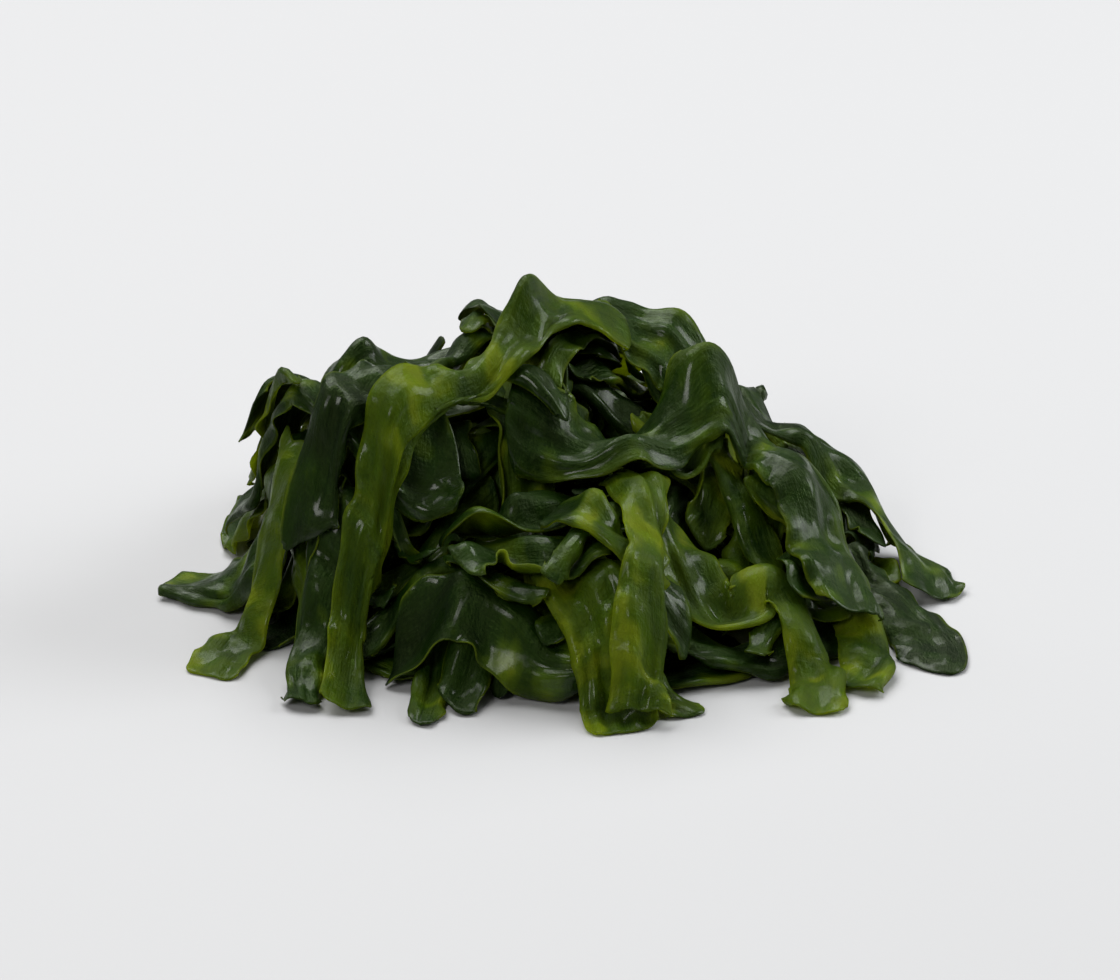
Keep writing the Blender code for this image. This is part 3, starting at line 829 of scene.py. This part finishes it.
def sheetPiece(name, sheets, kind, finishes):
    # One mesh of one or more sheets, thickened evenly and thinner at the margins
    places, faces, first = [], [], 0
    values = {"alongBlade": [], "acrossBlade": [], "margin": [], "tone": []}
    bands = []
    for sheet in sheets:
        down, over = sheet["grid"].shape[:2]
        number = first + np.arange(down * over).reshape(down, over)
        corners = [number[:-1, :-1], number[1:, :-1], number[1:, 1:], number[:-1, 1:]]
        faces += np.stack([corner.ravel() for corner in corners], axis=1).tolist()
        places.append(sheet["grid"].reshape(-1, 3) * mm)
        first += down * over
        along = np.repeat(np.linspace(0, sheet["length"], down), over)
        share = np.tile(np.linspace(-1, 1, over), down)
        values["alongBlade"].append(along)
        values["acrossBlade"].append(share * sheet["width"] / 2)
        values["margin"].append(np.abs(share))
        values["tone"].append(np.full(down * over, sheet["tone"]))
        toEdge = np.minimum((1 - np.abs(share)) * sheet["width"] / 2,
                            np.minimum(along, sheet["length"] - along))
        bands.append(np.minimum(toEdge // fine["marginBand"], fine["marginBands"]))
    mesh = bpy.data.meshes.new(name)
    mesh.from_pydata(np.vstack(places).tolist(), [], faces)
    mesh.shade_smooth()
    mesh.materials.append(finishes[kind])
    for key, value in values.items():
        stored = mesh.attributes.new(key, "FLOAT", "POINT")
        stored.data.foreach_set("value", np.concatenate(value).astype(np.float32))
    piece = bpy.data.objects.new(name, mesh)
    bpy.context.scene.collection.objects.link(piece)
    margins = piece.vertex_groups.new(name="thickness")
    bands = np.concatenate(bands)
    for level in range(fine["marginBands"] + 1):
        inBand = np.nonzero(bands == level)[0].tolist()
        margins.add(inBand, level / fine["marginBands"], "REPLACE")
    thicken = piece.modifiers.new("thickness", "SOLIDIFY")
    thicken.thickness = fine["thickness"] * mm
    thicken.offset = 0
    thicken.vertex_group = "thickness"
    thicken.thickness_vertex_group = fine["marginThickness"]
    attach(piece, "root")
    return piece


class Socket:
    # One output of a node, with arithmetic that adds Math nodes
    def __init__(self, finish, output):
        self.finish = finish
        self.output = output

    def combined(self, operation, first, second):
        return self.finish.node("ShaderNodeMath", {"operation": operation}, {0: first, 1: second})

    def __add__(self, other):
        return self.combined("ADD", self, other)

    def __sub__(self, other):
        return self.combined("SUBTRACT", self, other)

    def __rsub__(self, other):
        return self.combined("SUBTRACT", other, self)

    def __mul__(self, other):
        return self.combined("MULTIPLY", self, other)

    def __pow__(self, other):
        return self.combined("POWER", self, other)

    __radd__ = __add__
    __rmul__ = __mul__


class Finish:
    # A material under construction
    def __init__(self, name):
        self.material = bpy.data.materials.new(name)
        self.material.use_nodes = True
        self.tree = self.material.node_tree
        self.tree.nodes.clear()

    def node(self, kind, settings=None, inputs=None, output=0):
        made = self.tree.nodes.new(kind)
        for key, value in (settings or {}).items():
            if key == "stops":
                ramp = made.color_ramp
                for spot, colour in value[2:]:
                    ramp.elements.new(spot)
                for element, (spot, colour) in zip(ramp.elements, sorted(value)):
                    element.position = spot
                    element.color = (*colour, 1)
            else:
                setattr(made, key, value)
        for key, value in (inputs or {}).items():
            if isinstance(value, Socket):
                self.tree.links.new(value.output, made.inputs[key])
            else:
                made.inputs[key].default_value = value
        return None if output is None else Socket(self, made.outputs[output])

    def attribute(self, name):
        return self.node("ShaderNodeAttribute", {"attribute_name": name}, output="Fac")

    def noise(self, vector, scale, detail=3.0, roughness=0.5):
        return self.node("ShaderNodeTexNoise", {}, {
            "Vector": vector, "Scale": scale, "Detail": detail, "Roughness": roughness})

    def clamped(self, value, low, high):
        return self.node("ShaderNodeMapRange", {"clamp": True}, {
            "Value": value, "From Min": low, "From Max": high})

    def mixed(self, share, first, second):
        mix = self.tree.nodes.new("ShaderNodeMix")
        mix.data_type = "RGBA"
        for socket, value in ((mix.inputs[0], share), (mix.inputs[6], first), (mix.inputs[7], second)):
            if isinstance(value, Socket):
                self.tree.links.new(value.output, socket)
            else:
                socket.default_value = value if isinstance(value, float) else (*value, 1)
        return Socket(self, mix.outputs[2])


# The finish of a wet blade. Scales count features in a millimetre of blade.
wetBlade = {
    "deep": (0.0003, 0.0036, 0.0001),
    "body": (0.0044, 0.0170, 0.0002),
    "light": (0.0480, 0.0800, 0.0020),
    "glowing": (0.1560, 0.1940, 0.0080),
    # Painted light: the lit lime line at the margins
    "paintedRimLight": (0.1000, 0.1350, 0.0060),
    "through": (0.64, 0.74, 0.02),
    "bodyAt": 0.36,
    "lightAt": 0.72,
    "toneShare": 0.42,
    "patchShare": 0.36,
    "cloudShare": 0.2,
    "streakShare": 0.44,
    # Painted light: paler margins where light would shine through one thin layer
    "paintedMarginGlow": 0.22,
    # Painted light: pale spots where light would shine through thin tissue
    "paintedGlowShare": 0.45,
    "darkening": 0.47,
    "greenLift": {"dark": 0.0, "green": 0.22},
    "streakStretch": 0.14,
    "bladeSpacing": 40.0,
    "streakScale": 0.9,
    "wrinkleScale": 3.2,
    "patchScale": 0.075,
    "cloudScale": 0.24,
    # Size of the painted glow spots
    "paintedGlowScale": 0.15,
    "dropScale": 0.35,
    "creaseScale": 0.9,
    "grainScale": 2.4,
    "marginFrom": (0.95, 1.03),
    "grainAtMargin": 0.06,
    "roughness": 0.34,
    "drySurplus": 0.16,
    "grainRoughness": 0.06,
    "specular": 0.25,
    "gloss": (0.70, 1.0, 0.34),
    "wetness": 0.34,
    "coatRoughness": 0.13,
    "relief": {"streaks": 0.5, "wrinkles": 0.35, "creases": 0.6, "grains": 0.15},
    "bumpStrength": 0.65,
    "bumpDistance": 0.0008,
    "throughShare": {"dark": 0.36, "green": 0.62},
    "throughPale": 0.7,
    "throughMargin": 0.4,
}


def wetFinish(kind):
    finish = Finish(f"wakame_{kind}_wet")
    along = finish.attribute("alongBlade")
    across = finish.attribute("acrossBlade")
    margin = finish.attribute("margin")
    tone = finish.attribute("tone")
    apart = tone * wetBlade["bladeSpacing"]
    place = finish.node("ShaderNodeCombineXYZ", {}, {
        "X": across, "Y": along * wetBlade["streakStretch"], "Z": apart})
    spots = finish.node("ShaderNodeCombineXYZ", {}, {"X": across, "Y": along, "Z": apart})

    # From the deepest green to a painted glow where light would shine through thin places
    streaks = finish.noise(place, wetBlade["streakScale"], 4.0, 0.6)
    patches = finish.clamped(finish.noise(spots, wetBlade["patchScale"], 2.0), 0.34, 0.66)
    clouds = finish.clamped(finish.noise(spots, wetBlade["cloudScale"], 3.0, 0.6), 0.3, 0.7)
    # Painted light: pale spots where light would shine through thin places in the tissue
    paintedGlowSpots = finish.clamped(finish.noise(spots, wetBlade["paintedGlowScale"], 1.5), 0.56, 0.72)
    grains = finish.noise(spots, wetBlade["grainScale"], 2.0)
    # Painted light: the margins are made paler towards the edge, where light would shine through one
    # thin layer; patches, clouds and streaks are the blades' own mottling
    pale = (tone * wetBlade["toneShare"] + patches * wetBlade["patchShare"]
            + clouds * wetBlade["cloudShare"] + streaks * wetBlade["streakShare"]
            + margin**3 * wetBlade["paintedMarginGlow"])
    pale = pale + paintedGlowSpots * wetBlade["paintedGlowShare"] + (wetBlade["greenLift"][kind] - wetBlade["darkening"])
    colour = finish.node("ShaderNodeValToRGB", {"stops": [
        (0.0, wetBlade["deep"]), (1.0, wetBlade["glowing"]), (wetBlade["bodyAt"], wetBlade["body"]),
        (wetBlade["lightAt"], wetBlade["light"])]}, {"Fac": pale})
    # Painted light: a lit lime line along the very margin, broken up by the streaks and clouds
    edge = finish.clamped(margin + grains * wetBlade["grainAtMargin"], *wetBlade["marginFrom"])
    edge = edge * finish.clamped(streaks + clouds * 0.3, 0.4, 0.8)
    colour = finish.mixed(edge, colour, wetBlade["paintedRimLight"])

    # Drops and films of water, duller between them
    drops = finish.clamped(finish.noise(spots, wetBlade["dropScale"], 2.0), 0.42, 0.62)
    rough = ((1 - drops) * wetBlade["drySurplus"] + wetBlade["roughness"]
             + grains * wetBlade["grainRoughness"])
    relief = wetBlade["relief"]
    wrinkles = finish.noise(place, wetBlade["wrinkleScale"], 3.0, 0.6)
    creases = finish.noise(spots, wetBlade["creaseScale"], 4.0, 0.65)
    height = (streaks * relief["streaks"] + wrinkles * relief["wrinkles"]
              + creases * relief["creases"] + grains * relief["grains"])
    bump = finish.node("ShaderNodeBump", {}, {
        "Strength": wetBlade["bumpStrength"], "Distance": wetBlade["bumpDistance"], "Height": height})
    skin = finish.node("ShaderNodeBsdfPrincipled", {}, {
        "Base Color": colour, "Roughness": rough, "Normal": bump,
        "Specular IOR Level": wetBlade["specular"], "Specular Tint": (*wetBlade["gloss"], 1),
        "Coat Tint": (*wetBlade["gloss"], 1), "Coat Weight": drops * wetBlade["wetness"],
        "Coat Roughness": wetBlade["coatRoughness"]})
    through = finish.node("ShaderNodeBsdfTranslucent", {}, {
        "Color": (*wetBlade["through"], 1), "Normal": bump})
    share = finish.clamped(pale * wetBlade["throughPale"] + edge * wetBlade["throughMargin"], 0.0, 1.0)
    surface = finish.node("ShaderNodeMixShader", {}, {
        0: share * wetBlade["throughShare"][kind], 1: skin, 2: through})
    finish.node("ShaderNodeOutputMaterial", {}, {"Surface": surface}, output=None)
    return finish.material


def dressBlades(laid):
    finishes = {kind: wetFinish(kind) for kind in ("dark", "green")}
    top = HeapTop(fine["cell"], fine["mapReach"], -fine["leastClearance"])
    ceilings = undersides(laid, top)
    scrapRng = np.random.default_rng(scraps["seed"])
    groups = {}
    for order, (blade, points) in enumerate(laid):
        for _ in range(scraps["perBlade"]):
            scrapPoints = layScrap(scrapRng, points, top, ceilings[order])
            if scrapPoints is not None:
                kind = "green" if scrapRng.uniform() < scraps["greenShare"] else "dark"
                group = f"{kind}_scraps_{1 + order * scraps['groups'] // len(laid)}"
                sheet = sheetOf(
                    scrapPoints, scraps["rows"], scrapRng, top, scraps["step"], ceilings[order])
                groups.setdefault(group, []).append(sheet)
        if blade["name"] == crestStrip["under"]:
            groups.setdefault(crestStrip["group"], []).append(crestSheet(top, ceilings[order]))
        sheet = sheetOf(points, blade["rows"], np.random.default_rng(fine["firstSeed"] + order), top)
        # Painted light: the blades that catch the light take their listed lightness
        sheet["tone"] = lightness.get(blade["name"], sheet["tone"])
        piece = sheetPiece(blade["name"] + "_fine", [sheet], blade["tone"], finishes)
        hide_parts(blade["name"])
    for group, sheets in groups.items():
        sheetPiece(group, sheets, group.split("_")[0], finishes)
    print(f"{len(laid)} blades dressed, {sum(map(len, groups.values()))} scraps among them")


studio = {
    "azimuth": 0.0,
    "elevation": 23.6,
    "distance": 0.9,
    "targetHeight": 0.0145,
    "halfView": 0.079,
    "floor": (0.5, 0.5, 0.505),
    "world": (0.93, 0.97, 1.0),
    "worldStrength": 0.08,
}

lights = [
    {"name": "overhead", "place": (-0.25, 0.45, 0.95), "size": 1.1, "power": 17.5,
     "colour": (1.0, 1.0, 1.0)},
    {"name": "side", "place": (0.75, 0.15, 0.45), "size": 0.5, "power": 6.0,
     "colour": (0.97, 0.99, 1.0)},
    {"name": "front", "place": (-0.45, -0.75, 0.65), "size": 0.35, "power": 3.4,
     "colour": (1.0, 0.99, 0.97)},
]


def makeStudio():
    scene = bpy.context.scene
    mesh = bpy.data.meshes.new("floor")
    side = 3.0
    mesh.from_pydata([(-side, -side, 0), (side, -side, 0), (side, side, 0), (-side, side, 0)], [],
                     [(0, 1, 2, 3)])
    floor = bpy.data.objects.new("floor", mesh)
    scene.collection.objects.link(floor)
    finish = bpy.data.materials.new("floorFinish")
    finish.use_nodes = True
    skin = finish.node_tree.nodes["Principled BSDF"]
    skin.inputs["Base Color"].default_value = (*studio["floor"], 1)
    skin.inputs["Roughness"].default_value = 0.6
    mesh.materials.append(finish)

    world = bpy.data.worlds.new("studio")
    scene.world = world
    world.use_nodes = True
    sky = world.node_tree.nodes["Background"]
    sky.inputs["Color"].default_value = (*studio["world"], 1)
    sky.inputs["Strength"].default_value = studio["worldStrength"]
    for light in lights:
        lamp = bpy.data.lights.new(light["name"], "AREA")
        lamp.size = light["size"]
        lamp.energy = light["power"]
        lamp.color = light["colour"]
        holder = bpy.data.objects.new(light["name"], lamp)
        holder.location = light["place"]
        holder.rotation_euler = (-Vector(light["place"])).to_track_quat("-Z", "Y").to_euler()
        scene.collection.objects.link(holder)


def makeCamera():
    scene = bpy.context.scene
    lens = bpy.data.cameras.new("camera")
    lens.sensor_width = 36
    lens.lens = 18 / (studio["halfView"] / studio["distance"])
    camera = bpy.data.objects.new("camera", lens)
    turn, tilt = math.radians(studio["azimuth"]), math.radians(studio["elevation"])
    back = Vector((math.sin(turn) * math.cos(tilt), -math.cos(turn) * math.cos(tilt), math.sin(tilt)))
    camera.location = Vector((0, 0, studio["targetHeight"])) + back * studio["distance"]
    camera.rotation_euler = (-back).to_track_quat("-Z", "Y").to_euler()
    scene.collection.objects.link(camera)
    scene.camera = camera
    scene.view_settings.view_transform = "Standard"


makeCamera()
laid = layHeap()
checkAgainstNodes(laid)
dressBlades(laid)
makeStudio()
